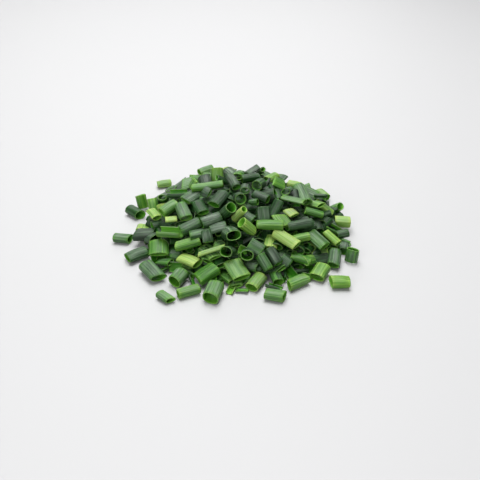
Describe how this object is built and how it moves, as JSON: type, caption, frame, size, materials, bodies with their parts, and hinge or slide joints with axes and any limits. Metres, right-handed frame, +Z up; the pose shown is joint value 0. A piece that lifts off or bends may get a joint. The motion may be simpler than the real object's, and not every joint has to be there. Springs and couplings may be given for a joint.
{
  "type": "chive bunch",
  "caption": "Low heap of fresh chopped chives: short hollow green leaf lengths piled loosely, some scattered round the foot.",
  "frame": {"origin": "on the surface the heap lies on, under the middle of its bounding box", "axes": "+Z up, along the heap's height, which is its shortest extent; -Y towards the side with the most loose lengths round the foot"},
  "size_m": [0.1098, 0.115, 0.0274],
  "materials": {
    "leaf_dark": "waxy satin, dark blue-green leaf",
    "leaf_mid": "waxy satin, mid green leaf",
    "leaf_light": "waxy satin, pale yellow-green leaf"
  },
  "bodies": {
    "root": {"heap": "leaf_dark", "far_left": "leaf_mid", "left_lying": "leaf_dark", "back_left_loose": "leaf_light", "left_yellow": "leaf_light", "left_blue": "leaf_dark", "left_low": "leaf_dark", "front_left_big": "leaf_dark", "front_cup": "leaf_mid", "front_loose_left": "leaf_mid", "front_low": "leaf_mid", "front_mid": "leaf_mid", "front_loose_right": "leaf_mid", "front_dark": "leaf_mid", "front_curl": "leaf_light", "front_green": "leaf_light", "front_right_a": "leaf_mid", "front_right_b": "leaf_light", "right_loose": "leaf_light", "right_dark": "leaf_dark", "right_cup": "leaf_mid", "right_foot": "leaf_dark", "right_bright": "leaf_light", "right_grey": "leaf_dark", "back_right_pale": "leaf_light", "left_standing": "leaf_mid", "back_loose": "leaf_mid", "front_big_left": "leaf_mid", "front_square": "leaf_mid", "yellow_wide": "leaf_light", "left_square": "leaf_mid", "sliver_long": "leaf_light", "right_big": "leaf_mid", "right_light": "leaf_light", "left_open": "leaf_mid", "left_mouth": "leaf_mid", "left_back_cup": "leaf_mid", "left_gutter": "leaf_dark", "left_long": "leaf_mid", "grey_square": "leaf_dark", "low_dark": "leaf_dark", "mouth_low": "leaf_dark", "mid_long": "leaf_light", "mouth_wide": "leaf_dark", "left_mid": "leaf_mid", "right_dark_long": "leaf_dark", "mouth_bright": "leaf_light", "bright_mid": "leaf_light", "right_green": "leaf_mid", "diamond_near": "leaf_dark", "diamond_wide": "leaf_dark", "mouth_mid": "leaf_dark", "right_top_long": "leaf_mid", "mouth_back": "leaf_dark", "long_top": "leaf_mid", "grey_down": "leaf_dark", "top_green_right": "leaf_light", "top_green_left": "leaf_mid", "top_cup": "leaf_light", "top_grey": "leaf_dark"}
  },
  "joints": []
}
